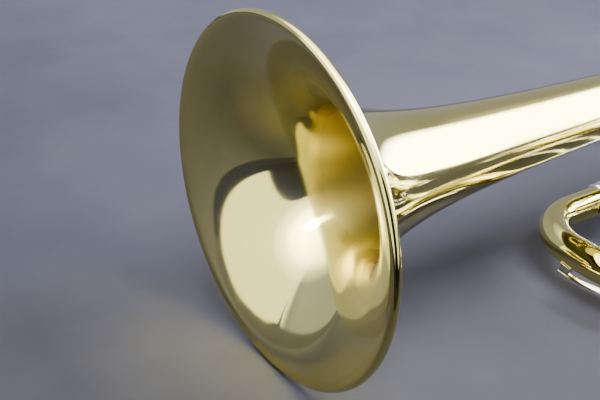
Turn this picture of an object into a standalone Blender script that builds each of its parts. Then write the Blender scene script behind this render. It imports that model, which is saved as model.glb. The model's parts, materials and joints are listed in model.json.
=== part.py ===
"""A B-flat trumpet lying on its right side, built from its separate soldered and moving pieces.

Layout frame: X runs from the bell mouth (0) back to the player, Y points to the valve buttons,
Z points up from the surface that the trumpet lies on. Lengths below are millimetres; MM turns
them into Blender's metres. The root empty puts the origin under the middle of the trumpet.
"""
import math

import bpy
from mathutils import Vector

MM = 0.001
GAP = 0.3                      # clearance between pieces that touch

# --- Planes and stations ---------------------------------------------------------------------
BELL_RADIUS = 61.5
BELL_Z = BELL_RADIUS           # the rim rests on the surface
SIDE_OFFSET = 22.5             # valve plane to bell axis, and valve plane to tuning slide
VALVE_Z = BELL_Z - SIDE_OFFSET
LEAD_Z = VALVE_Z - SIDE_OFFSET
VALVE_X = {3: 243.0, 2: 271.5, 1: 300.0}
LENGTH = 549.0                 # bell mouth to mouthpiece rim
LOWEST_Y = -98.0               # bottom caps
CENTRE = (LENGTH / 2, (BELL_RADIUS + LOWEST_Y) / 2, 0.0)

# --- Bell ------------------------------------------------------------------------------------
BELL_TAIL = 392.0
BELL_WALL = 0.5
BEAD_RADIUS = 1.5
TAPER_END = 400.0              # station where the straight taper would end
TAPER_RADIUS = 6.1             # and its radius there
TAPER = 0.0245                 # radius gained per millimetre of straight taper
SWELL = 45.0                   # radius that the flare adds at the mouth
SWELL_REACH = 76.0             # how far back the flare spreads
SWELL_POWER = 4
BOW_RADIUS_OUT = 6.35
BOW_END_X = 412.0
BOW_STUB = 6.0
BOW_LOWER_Y = -58.0
BOW_LEAN = 6.0                 # return tube above the valve plane
BOW_LOWER_Z = VALVE_Z + BOW_LEAN
BOW_WALL = 0.55
RETURN_RADIUS = 6.1

# --- Main tuning slide -----------------------------------------------------------------------
SLIDE_SPAN = 57.8              # upper leg to lower leg
SLIDE_FRONT = 124.0            # centreline of the bow's front
SLIDE_CORNER = 23.5
SLIDE_BOW_END = 160.0
SLEEVE_START = 168.0
LOWER_SLEEVE_END = 222.0
LEG_END = 220.0
ELBOW_CORNER = 12.0
SLEEVE_RADIUS = 6.95
SLEEVE_BORE = 6.35
COLLAR_RADIUS = 7.2            # ferrules on the moving legs
LEG_RADIUS = 5.95
LEG_BORE = 5.45

# --- Valves ----------------------------------------------------------------------------------
CASING_RADIUS = 10.25
CASING_BORE = 9.0
CASING_LOW = -94.0
CASING_HIGH = 20.0
PISTON_RADIUS = 8.6
PISTON_LOW = -68.0
PISTON_HIGH = 17.0
SPRING_SEAT = 7.0              # radius of the hollow that takes the spring
SEAT_DEPTH = 5.0
BARREL_BORE = 7.4
BARREL_FLOOR = -24.0
PISTON_PORTS = (-52.0, -33.0)
CAP_TOP = 25.0
PORT_RADIUS = 4.8
SADDLE_RADIUS = CASING_RADIUS + GAP

# --- Valve slides ----------------------------------------------------------------------------
SIDE_RISE = 7.0                # first and third slides sit on the bell side
SIDE_SLIDE_Z = VALVE_Z + SIDE_RISE
THIRD_Y = (-38.0, -64.0)
THIRD_SLEEVE_FRONT = 200.0
THIRD_BOW_CENTRE = 165.0
FIRST_Y = (-18.0, -42.0)
FIRST_SLEEVE_REAR = 336.0
FIRST_BOW_CENTRE = 350.0
SECOND_Y = (-30.0, -52.0)
SECOND_BOW_TOP = 16.5
TUBE_RADIUS = 5.8
LINK_WALL = 0.6
LINK_23_Y = -46.0
LINK_12_Y = -34.0
THIN_SLEEVE = 6.3
THIN_BORE = 5.9
INNER_RADIUS = 5.5
INNER_WALL = 0.5

# --- Leadpipe and mouthpiece -----------------------------------------------------------------
LEAD_START = 232.3
RECEIVER_END = 487.0
SHANK_DEPTH = 22.0             # mouthpiece shank inside the receiver
RIM_RADIUS = 13.75
RIM_REST = 3.0                 # the rim's widest place, forward of its face
LEAD_DROP = LEAD_Z - RIM_RADIUS
LEAD_TILT = math.atan2(LEAD_DROP, LENGTH - RIM_REST - LEAD_START)

ROUND = 16                     # sides of a turned piece
SMALL = 12                     # sides of a small turned piece
BELL_SIDES = 32

BRASS = (0.80, 0.60, 0.24)
NICKEL = (0.74, 0.73, 0.69)
STEEL = (0.62, 0.62, 0.62)
FELT_WHITE = (0.82, 0.79, 0.70)
PEARL = (0.90, 0.88, 0.83)
CORK = (0.62, 0.43, 0.25)

AXES = {
    "+X": (0.0, math.pi / 2, 0.0),
    "+Y": (-math.pi / 2, 0.0, 0.0),
    "+Z": (0.0, 0.0, 0.0),
}


# --- Scene and materials ---------------------------------------------------------------------
for old in list(bpy.data.objects):
    bpy.data.objects.remove(old, do_unlink=True)

PARTS = bpy.data.collections.new("trumpet")
CUTTERS = bpy.data.collections.new("cutters")
bpy.context.scene.collection.children.link(PARTS)
bpy.context.scene.collection.children.link(CUTTERS)

ROOT = bpy.data.objects.new("trumpet_root", None)
ROOT.location = [-c * MM for c in CENTRE]
PARTS.objects.link(ROOT)


def finish_of(name, colour, roughness, metallic):
    """A Principled material for one sub-part."""
    material = bpy.data.materials.new(name)
    material.use_nodes = True
    shader = material.node_tree.nodes["Principled BSDF"]
    shader.inputs["Base Color"].default_value = (*colour, 1.0)
    shader.inputs["Roughness"].default_value = roughness
    shader.inputs["Metallic"].default_value = metallic
    return material


LOOKS = {
    "brass": (BRASS, 0.12, 1.0),
    "nickel": (NICKEL, 0.15, 1.0),
    "steel": (STEEL, 0.30, 1.0),
    "felt": (FELT_WHITE, 0.95, 0.0),
    "pearl": (PEARL, 0.20, 0.0),
    "cork": (CORK, 0.90, 0.0),
}


def add(name, data, at, look, parent=None, turn=(0.0, 0.0, 0.0), collection=PARTS):
    """Make an object of mesh or curve data at a place in the layout frame."""
    item = bpy.data.objects.new(name, data)
    collection.objects.link(item)
    item.parent = parent or ROOT
    item.location = [c * MM for c in at]
    item.rotation_euler = turn
    data.materials.append(finish_of(name + "_finish", *LOOKS[look]))
    return item


# --- Makers ----------------------------------------------------------------------------------
def turned(name, outer, inner, at, axis, look, steps=ROUND, parent=None):
    """A turned piece: outer and inner sides as (radius, height), both rising along the axis."""
    loop = list(reversed(outer)) + list(inner)
    mesh = bpy.data.meshes.new(name)
    points = [(r * MM, 0.0, h * MM) for r, h in loop]
    edges = [(i, i + 1) for i in range(len(points) - 1)]
    if inner:
        edges.append((len(points) - 1, 0))
    mesh.from_pydata(points, edges, [])
    item = add(name, mesh, at, look, parent, AXES[axis])
    screw = item.modifiers.new("turn", "SCREW")
    screw.axis = "Z"
    screw.angle = math.tau
    screw.steps = steps
    screw.render_steps = steps
    screw.use_merge_vertices = True
    screw.merge_threshold = 0.00001
    screw.use_smooth_shade = True
    return item


def ring(name, r_out, r_in, low, high, at, axis, look, steps=ROUND, parent=None):
    """A plain tube or washer."""
    outer = [(r_out, low), (r_out, high)]
    inner = [(r_in, low), (r_in, high)]
    return turned(name, outer, inner, at, axis, look, steps, parent)


def route(name, points, radius, sides, caps):
    """A POLY curve with a round bevel along points in millimetres."""
    curve = bpy.data.curves.new(name, "CURVE")
    curve.dimensions = "3D"
    curve.bevel_depth = radius * MM
    curve.bevel_resolution = sides // 2 - 2
    curve.use_fill_caps = caps
    spline = curve.splines.new("POLY")
    spline.points.add(len(points) - 1)
    for slot, point in zip(spline.points, points):
        slot.co = (*[c * MM for c in point], 1.0)
    return curve


def rod(name, points, radius, at, look, sides=8, parent=None):
    """A solid round wire or rod."""
    return add(name, route(name, points, radius, sides, True), at, look, parent)


def pipe(name, points, radius, wall, at, look, sides=SMALL, parent=None):
    """A hollow bent tube: an open bevelled curve made a mesh, with its wall inside."""
    guide = bpy.data.objects.new("guide", route(name, points, radius, sides, False))
    CUTTERS.objects.link(guide)
    graph = bpy.context.evaluated_depsgraph_get()
    mesh = bpy.data.meshes.new_from_object(guide.evaluated_get(graph))
    bpy.data.objects.remove(guide)
    mesh.name = name
    mesh.shade_smooth()
    item = add(name, mesh, at, look, parent)
    solid = item.modifiers.new("wall", "SOLIDIFY")
    solid.thickness = wall * MM
    solid.offset = -1.0
    return item


def plate(name, outline, thickness, at, look, turn=(0.0, 0.0, 0.0), parent=None):
    """A flat piece cut to an outline in its own XY plane."""
    curve = bpy.data.curves.new(name, "CURVE")
    curve.dimensions = "2D"
    curve.fill_mode = "BOTH"
    curve.extrude = thickness / 2 * MM
    spline = curve.splines.new("POLY")
    spline.points.add(len(outline) - 1)
    for slot, point in zip(spline.points, outline):
        slot.co = (point[0] * MM, point[1] * MM, 0.0, 1.0)
    spline.use_cyclic_u = True
    return add(name, curve, at, look, parent, turn)


def cutter(name, radius, low, high, at, axis, steps=ROUND):
    """A hidden solid cylinder that cuts other pieces."""
    outer = [(0.0, low), (radius, low), (radius, high), (0.0, high)]
    item = turned(name, outer, [], at, axis, "steel", steps)
    PARTS.objects.unlink(item)
    CUTTERS.objects.link(item)
    item.hide_render = True
    item.display_type = "WIRE"
    return item


def cut(item, tool):
    """Take the tool's shape out of the item."""
    step = item.modifiers.new("cut_" + tool.name, "BOOLEAN")
    step.operation = "DIFFERENCE"
    step.solver = "EXACT"
    step.object = tool


def arc(centre, radius, start, end, count):
    """Points on an arc, angles in degrees from the first axis towards the second."""
    points = []
    for i in range(count + 1):
        angle = math.radians(start + (end - start) * i / count)
        points.append((centre[0] + radius * math.cos(angle), centre[1] + radius * math.sin(angle)))
    return points


# --- Bell and its bow ------------------------------------------------------------------------
def flare(s):
    """Outer radius of the bell at a distance s behind the mouth."""
    return TAPER_RADIUS + TAPER * (TAPER_END - s) + SWELL * (1.0 + s / SWELL_REACH) ** -SWELL_POWER


def flare_slope(s):
    """Change of the bell's radius per millimetre at the same distance."""
    fall = (1.0 + s / SWELL_REACH) ** (-SWELL_POWER - 1)
    return -TAPER - SWELL_POWER * SWELL / SWELL_REACH * fall


def make_bell():
    stations = (2.5, 5.0, 9.0, 15.0, 24.0, 36.0, 54.0, 80.0, 125.0, 210.0, BELL_TAIL)
    outer = []
    inner = []
    for s in stations:
        r = flare(s)
        slope = flare_slope(s)
        scale = BELL_WALL / math.hypot(1.0, slope)
        outer.append((r, s))
        inner.append((r - scale, s + scale * slope if s < BELL_TAIL else s))
    bead_centre = (BELL_RADIUS - BEAD_RADIUS, BEAD_RADIUS)
    bead = arc(bead_centre, BEAD_RADIUS, -90.0, 135.0, 5)
    turned("bell", bead + outer, inner, (0.0, 0.0, BELL_Z), "+X", "brass", BELL_SIDES)


def make_bell_bow():
    """The rear bow leans in from the bell's plane to the first valve."""
    ring("bell_ferrule", 7.4, 6.75, 384.0, 400.0, (0.0, 0.0, BELL_Z), "+X", "nickel")
    drop = Vector((0.0, BOW_LOWER_Y, BOW_LOWER_Z - BELL_Z))
    middle = Vector((BOW_END_X, 0.0, BELL_Z)) + drop / 2
    points = [(BELL_TAIL + GAP, 0.0, BELL_Z)]
    for i in range(11):
        angle = math.pi * i / 10
        back = Vector((drop.length / 2 * math.sin(angle), 0.0, 0.0))
        points.append(tuple(middle - drop / 2 * math.cos(angle) + back))
    points.append((BOW_END_X - BOW_STUB, BOW_LOWER_Y, BOW_LOWER_Z))
    pipe("bell_bow", points, BOW_RADIUS_OUT, BOW_WALL, (0.0, 0.0, 0.0), "brass")
    tube = pipe(
        "bell_return_tube",
        [(VALVE_X[1] + 2.0, 0.0, 0.0), (BOW_END_X - BOW_STUB - GAP, 0.0, 0.0)],
        RETURN_RADIUS, BOW_WALL, (0.0, BOW_LOWER_Y, BOW_LOWER_Z), "brass",
    )
    cut(tube, SADDLES[1])


# --- Valves ----------------------------------------------------------------------------------
SADDLES = {
    number: cutter(
        "saddle_%d" % number, SADDLE_RADIUS, -110.0, 40.0, (x, 0.0, VALVE_Z), "+Y",
    )
    for number, x in VALVE_X.items()
}

# Holes in each casing: height along the valve, offset towards the bell side, direction.
CASING_PORTS = {
    3: ((THIRD_Y[0], SIDE_RISE, "-X"), (THIRD_Y[1], SIDE_RISE, "-X"), (-SLIDE_SPAN, 0.0, "down"),
        (LINK_23_Y, 0.0, "+X")),
    2: ((LINK_23_Y, 0.0, "-X"), (SECOND_Y[0], 0.0, "down"), (SECOND_Y[1], 0.0, "down"),
        (LINK_12_Y, 0.0, "+X")),
    1: ((FIRST_Y[0], SIDE_RISE, "+X"), (FIRST_Y[1], SIDE_RISE, "+X"), (BOW_LOWER_Y, BOW_LEAN, "+X"),
        (LINK_12_Y, 0.0, "-X")),
}
PORT_SPANS = {"+X": ("+X", 2.0, 16.0), "-X": ("+X", -16.0, -2.0), "down": ("+Z", -16.0, -2.0)}


def make_casing(number):
    x = VALVE_X[number]
    casing = ring("valve_casing_%d" % number, CASING_RADIUS, CASING_BORE, CASING_LOW, CASING_HIGH,
                  (x, 0.0, VALVE_Z), "+Y", "brass")
    for index, (y, offset, way) in enumerate(CASING_PORTS[number]):
        axis, low, high = PORT_SPANS[way]
        hole = cutter("port_%d_%d" % (number, index), PORT_RADIUS, low, high,
                      (x, y, VALVE_Z + offset), axis, SMALL)
        cut(casing, hole)


def make_caps(number):
    at = (VALVE_X[number], 0.0, VALVE_Z)
    top_outer = [(11.2, 12.5), (11.6, 13.2), (11.6, 22.5), (10.8, 23.4), (9.2, 23.8), (8.4, CAP_TOP)]
    top_inner = [(10.6, 12.5), (10.6, 20.6), (3.6, 20.6), (3.6, CAP_TOP)]
    turned("top_cap_%d" % number, top_outer, top_inner, at, "+Y", "nickel")
    bottom_outer = [(6.0, LOWEST_Y), (8.6, LOWEST_Y), (10.6, -96.6), (11.6, -95.4), (11.6, -87.0)]
    bottom_inner = [(1.5, LOWEST_Y), (1.5, -94.6), (10.6, -94.6), (10.6, -87.0)]
    turned("bottom_cap_%d" % number, bottom_outer, bottom_inner, at, "+Y", "nickel")


def make_piston(number):
    x = VALVE_X[number]
    at = (x, 0.0, VALVE_Z)
    outer = [(SPRING_SEAT, PISTON_LOW), (PISTON_RADIUS, PISTON_LOW), (PISTON_RADIUS, PISTON_HIGH),
             (BARREL_BORE, PISTON_HIGH), (BARREL_BORE, BARREL_FLOOR), (0.0, BARREL_FLOOR)]
    hollow = [(0.0, PISTON_LOW + SEAT_DEPTH), (SPRING_SEAT, PISTON_LOW + SEAT_DEPTH)]
    piston = turned("piston_%d" % number, hollow + outer, [], at, "+Y", "nickel")
    for level in PISTON_PORTS:
        hole = cutter("bore_%d_%d" % (number, -level), PORT_RADIUS, -12.0, 12.0, (x, level, VALVE_Z),
                      "+X", SMALL)
        cut(piston, hole)
    stem = [(0.0, 13.5), (BARREL_BORE - 0.4, 13.5), (BARREL_BORE - 0.4, 16.8), (2.5, 16.8), (2.5, 44.6),
            (6.2, 45.0), (7.8, 46.2), (8.0, 48.4), (7.4, 49.6), (6.7, 49.8), (6.7, 48.6), (0.0, 48.6)]
    turned("button_stem_%d" % number, stem, [], at, "+Y", "brass", SMALL)
    pearl = [(0.0, 48.9), (6.3, 48.9), (6.3, 49.8), (4.6, 50.3), (0.0, 50.6)]
    turned("button_pearl_%d" % number, pearl, [], at, "+Y", "pearl", SMALL)
    ring("button_felt_%d" % number, 6.3, 2.9, 42.3, 44.3, at, "+Y", "felt", SMALL)
    make_spring(number, at)


def make_spring(number, at):
    """A coil between the piston's foot and the bottom cap."""
    turns = 5
    coil = 5.6
    low = -93.6
    high = PISTON_LOW + SEAT_DEPTH - 0.8
    count = turns * 8
    points = []
    for i in range(count + 1):
        angle = math.tau * turns * i / count
        y = low + (high - low) * i / count
        points.append((coil * math.cos(angle), y, coil * math.sin(angle)))
    rod("valve_spring_%d" % number, points, 0.45, at, "steel", 6)


def make_links():
    """Short tubes that join neighbouring casings."""
    reach = 6.0
    for name, front, rear, y in (("link_tube_23", 3, 2, LINK_23_Y), ("link_tube_12", 2, 1, LINK_12_Y)):
        tube = pipe(name, [(VALVE_X[front] + reach, 0.0, 0.0), (VALVE_X[rear] - reach, 0.0, 0.0)],
                    TUBE_RADIUS, LINK_WALL, (0.0, y, VALVE_Z), "brass")
        cut(tube, SADDLES[front])
        cut(tube, SADDLES[rear])


# --- Main tuning slide -----------------------------------------------------------------------
def make_tuning_sleeves():
    for name, y, end in (("upper", 0.0, LEAD_START - GAP), ("lower", -SLIDE_SPAN, LOWER_SLEEVE_END)):
        outer = [(7.4, SLEEVE_START), (7.4, SLEEVE_START + 5.0), (SLEEVE_RADIUS, SLEEVE_START + 5.6),
                 (SLEEVE_RADIUS, end)]
        inner = [(SLEEVE_BORE, SLEEVE_START), (SLEEVE_BORE, end)]
        turned("tuning_sleeve_" + name, outer, inner, (0.0, y, LEAD_Z), "+X", "nickel")
    x = VALVE_X[3]
    bend = [(LOWER_SLEEVE_END + GAP, 0.0, LEAD_Z)]
    for bx, bz in arc((x - ELBOW_CORNER, LEAD_Z + ELBOW_CORNER), ELBOW_CORNER, -90.0, 0.0, 5):
        bend.append((bx, 0.0, bz))
    bend.append((x, 0.0, VALVE_Z - 6.0))
    elbow = pipe("third_valve_elbow", bend, BOW_RADIUS_OUT, LINK_WALL, (0.0, -SLIDE_SPAN, 0.0), "brass")
    cut(elbow, SADDLES[3])
    post("sleeve_brace", (186.0, -SLEEVE_RADIUS - GAP, LEAD_Z), SLIDE_SPAN - 2 * (SLEEVE_RADIUS + GAP))


def post(name, at, length):
    """A brace along -Y from a point: a slim rod between two flanges."""
    outer = [(0.0, -length), (4.5, -length), (4.0, -length + 1.2), (2.0, -length + 2.6),
             (2.0, -2.6), (4.0, -1.2), (4.5, 0.0), (0.0, 0.0)]
    turned(name, outer, [], at, "+Y", "nickel", SMALL)


def make_tuning_slide():
    """The moving U: bow, two inner legs with ferrules, brace and nipple."""
    lower = SLIDE_SPAN - SLIDE_CORNER
    corner_x = SLIDE_FRONT + SLIDE_CORNER
    flat = [(SLIDE_BOW_END, 0.0)]
    flat += arc((corner_x, -SLIDE_CORNER), SLIDE_CORNER, 90.0, 180.0, 6)
    flat += arc((corner_x, -lower), SLIDE_CORNER, 180.0, 270.0, 6)
    flat += [(SLIDE_BOW_END, -SLIDE_SPAN)]
    pipe("tuning_bow", [(x, y, 0.0) for x, y in flat], BOW_RADIUS_OUT, BOW_WALL, (0.0, 0.0, LEAD_Z),
         "brass")
    start = SLIDE_BOW_END + GAP
    collar = SLEEVE_START - GAP
    for name, y in (("upper", 0.0), ("lower", -SLIDE_SPAN)):
        outer = [(COLLAR_RADIUS - 0.2, start), (COLLAR_RADIUS, start + 0.6), (COLLAR_RADIUS, collar),
                 (LEG_RADIUS, collar), (LEG_RADIUS, LEG_END)]
        inner = [(LEG_BORE, start), (LEG_BORE, LEG_END)]
        turned("tuning_leg_" + name, outer, inner, (0.0, y, LEAD_Z), "+X", "nickel")
    post("tuning_slide_brace", (163.0, -COLLAR_RADIUS - GAP, LEAD_Z),
         SLIDE_SPAN - 2 * (COLLAR_RADIUS + GAP))
    ring("water_nipple", 3.0, 1.2, -67.2, -64.5, (146.5, 0.0, LEAD_Z), "+Y", "nickel", SMALL)


# --- Water keys ------------------------------------------------------------------------------
def make_water_key(prefix, pivot, path, width, cork_at, cork_low, cork_high):
    """A bent strip that rocks about a pivot, with a cork pad under its end."""
    sides = ([], [])
    for i, point in enumerate(path):
        before = Vector(path[max(i - 1, 0)])
        after = Vector(path[min(i + 1, len(path) - 1)])
        along = (after - before).normalized()
        across = Vector((-along.y, along.x)) * 0.8
        sides[0].append(tuple(Vector(point) + across))
        sides[1].append(tuple(Vector(point) - across))
    outline = [(x - pivot[0], y - pivot[1]) for x, y in sides[0] + sides[1][::-1]]
    plate(prefix + "_lever", outline, width, pivot, "nickel")
    cork = [(0.0, cork_low), (3.0, cork_low), (3.0, cork_high), (0.0, cork_high)]
    turned(prefix + "_cork", cork, [], (cork_at, 0.0, pivot[2]), "+Y", "cork", SMALL)


def make_water_keys():
    main = [(150.0, -70.6), (143.0, -70.6), (134.0, -69.0), (124.0, -64.0), (116.5, -56.0),
            (112.0, -46.0), (110.5, -36.0), (110.5, -28.0)]
    make_water_key("water_key", (134.0, -67.6, LEAD_Z), main, 6.0, 146.5, -69.5, -67.5)
    third = [(171.0, -74.4), (165.0, -74.4), (158.0, -74.0), (150.0, -71.0), (145.0, -66.0),
             (142.5, -60.0)]
    make_water_key("third_water_key", (158.0, -72.4, SIDE_SLIDE_Z), third, 5.0, 168.0, -73.3, -71.2)


# --- Valve slides ----------------------------------------------------------------------------
def make_sleeves(prefix, levels, casing, rear, front):
    """Outer tubes soldered to a casing, running along X."""
    for name, y in zip(("upper", "lower"), levels):
        tube = pipe("%s_sleeve_%s" % (prefix, name), [(front, 0.0, 0.0), (rear, 0.0, 0.0)], THIN_SLEEVE,
                    THIN_SLEEVE - THIN_BORE, (0.0, y, SIDE_SLIDE_Z), "nickel")
        cut(tube, SADDLES[casing])


def u_tube(levels, bow_x, leg_end, way, count=8):
    """Centreline of a U that opens along X; way is -1 for a bow in front, 1 for one behind."""
    middle = (levels[0] + levels[1]) / 2
    radius = (levels[0] - levels[1]) / 2
    points = [(leg_end, levels[0], 0.0)]
    for i in range(count + 1):
        angle = math.pi * i / count
        points.append((bow_x + way * radius * math.sin(angle), middle + radius * math.cos(angle), 0.0))
    points.append((leg_end, levels[1], 0.0))
    return points


def make_third_slide():
    make_sleeves("third", THIRD_Y, 3, VALVE_X[3] - 1.0, THIRD_SLEEVE_FRONT)
    shape = u_tube(THIRD_Y, THIRD_BOW_CENTRE, 230.0, -1)
    at = (0.0, 0.0, SIDE_SLIDE_Z)
    pipe("third_slide_tube", shape, INNER_RADIUS, INNER_WALL, at, "brass")
    hoop = 11.5
    wire = 1.8
    centre_y = THIRD_Y[0] + INNER_RADIUS + GAP + wire + hoop
    points = [(186.0 + x, centre_y + y, 0.0) for x, y in arc((0.0, 0.0), hoop, 0.0, 360.0, 16)]
    ring_curve = route("third_finger_ring", points[:-1], wire, 8, False)
    ring_curve.splines[0].use_cyclic_u = True
    add("third_finger_ring", ring_curve, at, "nickel")


def make_first_slide():
    make_sleeves("first", FIRST_Y, 1, FIRST_SLEEVE_REAR, VALVE_X[1] + 1.0)
    shape = u_tube(FIRST_Y, FIRST_BOW_CENTRE, 313.0, 1)
    pipe("first_slide_tube", shape, INNER_RADIUS, INNER_WALL, (0.0, 0.0, SIDE_SLIDE_Z), "brass")
    inner = 10.2
    thick = 1.6
    cup = arc((0.0, 0.0), inner, 180.0, 360.0, 10)
    shell = arc((0.0, 0.0), inner + thick, 360.0, 180.0, 10)
    tip = 5.0
    outline = [(-inner, tip)] + cup + [(inner, tip), (inner + thick, tip)] + shell + [(-inner - thick, tip)]
    z = SIDE_SLIDE_Z + INNER_RADIUS + GAP + inner + thick
    plate("first_thumb_saddle", outline, 12.0, (344.0, FIRST_Y[0] - 3.0, z), "nickel",
          (math.pi / 2, 0.0, math.pi / 2))


def make_second_slide():
    x = VALVE_X[2]
    for name, y in zip(("upper", "lower"), SECOND_Y):
        tube = pipe("second_sleeve_" + name, [(0.0, 0.0, SECOND_BOW_TOP + 1.5), (0.0, 0.0, VALVE_Z - 5.0)],
                    THIN_SLEEVE, THIN_SLEEVE - THIN_BORE, (x, y, 0.0), "nickel")
        cut(tube, SADDLES[2])
    middle = sum(SECOND_Y) / 2
    radius = (SECOND_Y[0] - SECOND_Y[1]) / 2
    top = 28.0
    points = [(0.0, SECOND_Y[0], top)]
    for i in range(9):
        angle = math.pi * i / 8
        points.append((0.0, middle + radius * math.cos(angle), SECOND_BOW_TOP - radius * math.sin(angle)))
    points.append((0.0, SECOND_Y[1], top))
    pipe("second_slide_tube", points, INNER_RADIUS, INNER_WALL, (x, 0.0, 0.0), "brass")


# --- Leadpipe, mouthpiece, braces and hook ---------------------------------------------------
def make_leadpipe():
    """The leadpipe falls slightly towards the player, so that the mouthpiece rim also rests."""
    line = bpy.data.objects.new("lead_line", None)
    line.parent = ROOT
    line.location = [c * MM for c in (LEAD_START, 0.0, LEAD_Z)]
    line.rotation_euler = (0.0, LEAD_TILT, 0.0)
    PARTS.objects.link(line)

    def along(outer, inner, name, look):
        turned(name, outer, inner, (0.0, 0.0, 0.0), "+X", look, ROUND, line)

    end = RECEIVER_END - LEAD_START
    shank = end - SHANK_DEPTH
    along([(6.1, 0.0), (5.9, 150.0), (5.2, shank - GAP)], [(5.5, 0.0), (5.3, 150.0), (4.4, shank - GAP)],
          "leadpipe", "brass")
    along([(6.6, end - 44.0), (7.0, end - 41.0), (7.0, end - 6.0), (7.9, end - 4.0), (7.9, end)],
          [(6.0, end - 44.0), (6.0, shank), (5.6, shank + 0.4), (5.6, end)],
          "mouthpiece_receiver", "nickel")
    rim = LENGTH - LEAD_START
    along(
        [(4.8, shank + GAP), (5.2, end + 2.0), (5.4, end + 12.0), (4.6, end + 18.0), (5.4, end + 26.0),
         (8.4, end + 34.0), (12.2, end + 47.0), (12.6, end + 54.0), (13.4, rim - 4.6),
         (RIM_RADIUS, rim - 2.6), (13.3, rim - 1.0), (11.6, rim)],
        [(4.0, shank + GAP), (3.0, end + 12.0), (1.9, end + 30.0), (3.0, end + 36.0), (6.2, end + 44.0),
         (7.8, end + 52.0), (8.3, rim - 3.0), (9.0, rim - 0.9)],
        "mouthpiece", "nickel",
    )


def make_side_braces():
    """Flanged rods between the bell and the pipe below it."""
    for name, x, foot in (("bell_brace_front", 206.0, LEAD_Z + SLEEVE_RADIUS + GAP),
                          ("bell_brace_rear", 346.0, LEAD_Z + 6.0)):
        top = BELL_Z - flare(x - 5.0) - GAP
        outer = [(0.0, foot), (4.2, foot), (4.0, foot + 1.0), (2.0, foot + 2.4), (2.0, top - 2.4),
                 (4.0, top - 1.0), (4.2, top), (0.0, top)]
        turned(name, outer, [], (x, 0.0, 0.0), "+Z", "nickel", SMALL)


def make_finger_hook():
    base = SLEEVE_RADIUS + GAP + 1.8
    points = [(218.0, base, 0.0), (224.0, base + 0.6, 0.0), (230.0, base + 3.0, 0.0),
              (234.0, base + 8.0, 0.0)]
    points += [(x, y, 0.0) for x, y in arc((223.5, base + 11.0), 10.5, 0.0, 150.0, 8)]
    rod("finger_hook", points, 1.8, (0.0, 0.0, LEAD_Z), "nickel")


make_bell()
make_bell_bow()
for valve in VALVE_X:
    make_casing(valve)
    make_caps(valve)
    make_piston(valve)
make_links()
make_tuning_sleeves()
make_tuning_slide()
make_water_keys()
make_third_slide()
make_first_slide()
make_second_slide()
make_leadpipe()
make_side_braces()
make_finger_hook()
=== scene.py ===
"""Fine visual model of the trumpet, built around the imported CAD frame.

Layout frame: millimetres, X back from the bell mouth, Y towards the valve buttons, Z up from the
surface the trumpet lies on. place() turns it into the world frame, from the bell's own CAD box.
"""
import json
import math

import bpy
from mathutils import Matrix, Vector


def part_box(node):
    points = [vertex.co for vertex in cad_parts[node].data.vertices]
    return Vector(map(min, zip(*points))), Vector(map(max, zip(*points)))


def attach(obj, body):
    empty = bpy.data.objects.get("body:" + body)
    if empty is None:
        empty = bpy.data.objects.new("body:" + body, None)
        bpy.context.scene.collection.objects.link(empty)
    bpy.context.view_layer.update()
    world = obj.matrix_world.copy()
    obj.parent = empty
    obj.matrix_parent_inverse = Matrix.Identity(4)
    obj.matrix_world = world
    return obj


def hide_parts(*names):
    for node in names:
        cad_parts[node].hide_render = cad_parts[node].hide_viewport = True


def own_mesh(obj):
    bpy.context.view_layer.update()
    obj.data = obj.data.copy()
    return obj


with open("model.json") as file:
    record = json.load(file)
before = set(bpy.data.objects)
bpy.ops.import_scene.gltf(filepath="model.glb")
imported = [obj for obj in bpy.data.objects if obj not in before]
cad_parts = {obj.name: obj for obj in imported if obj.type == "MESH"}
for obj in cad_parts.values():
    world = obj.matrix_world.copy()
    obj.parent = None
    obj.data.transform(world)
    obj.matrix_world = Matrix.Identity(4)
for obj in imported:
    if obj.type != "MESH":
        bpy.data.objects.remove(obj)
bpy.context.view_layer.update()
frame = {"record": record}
MM = 0.001

BODY_OF = {n: b for b, nodes in frame["record"]["behaviour"]["bodies"].items() for n in nodes}
SLOT_OF = {row["node"]: row["material_slot"] for row in frame["record"]["subparts"]}

BELL_LOW, BELL_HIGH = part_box("bell")
MOUTH_X = BELL_LOW.x
AXIS_Y = (BELL_LOW.y + BELL_HIGH.y) / 2


def place(x, y, z):
    """Layout millimetres to world metres."""
    return Vector((MOUTH_X + x * MM, AXIS_Y + y * MM, z * MM))


class Span:
    """A CAD node's box in layout millimetres."""

    def __init__(self, node):
        low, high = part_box(node)
        self.low = Vector(((low.x - MOUTH_X) / MM, (low.y - AXIS_Y) / MM, low.z / MM))
        self.high = Vector(((high.x - MOUTH_X) / MM, (high.y - AXIS_Y) / MM, high.z / MM))
        self.mid = (self.low + self.high) / 2
        self.size = self.high - self.low


# --- Driving sizes, in millimetres ---
BELL = Span("bell")
BELL_Z = BELL.mid.z
BELL_RADIUS = BELL.size.z / 2
BELL_TAIL = BELL.high.x
BELL_WALL = 0.5
BEAD = 1.5                # radius of the wire in the bell's rim
THROAT_RADIUS = 6.1       # of the bell's tail, at FLARE_END
FLARE_END = 400.0
FLARE_TAPER = 0.0245
FLARE_SWELL = 45.0        # what the flare adds at the mouth
FLARE_LENGTH = 76.0
VALVES = {n: Span("valve_casing_%d" % n) for n in (1, 2, 3)}
VALVE_Z = VALVES[2].mid.z
CASING_RADIUS = VALVES[2].size.x / 2
CASING_BORE = 9.0
CAP_BORE = 10.3
BOW_RADIUS = 6.35         # outside of the rear bow and of the elbow
SLIDE_BORE = 5.7          # of the valve slides' sleeves
X_DIR = (1.0, 0.0, 0.0)
Y_DIR = (0.0, 1.0, 0.0)
Z_DIR = (0.0, 0.0, 1.0)


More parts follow.
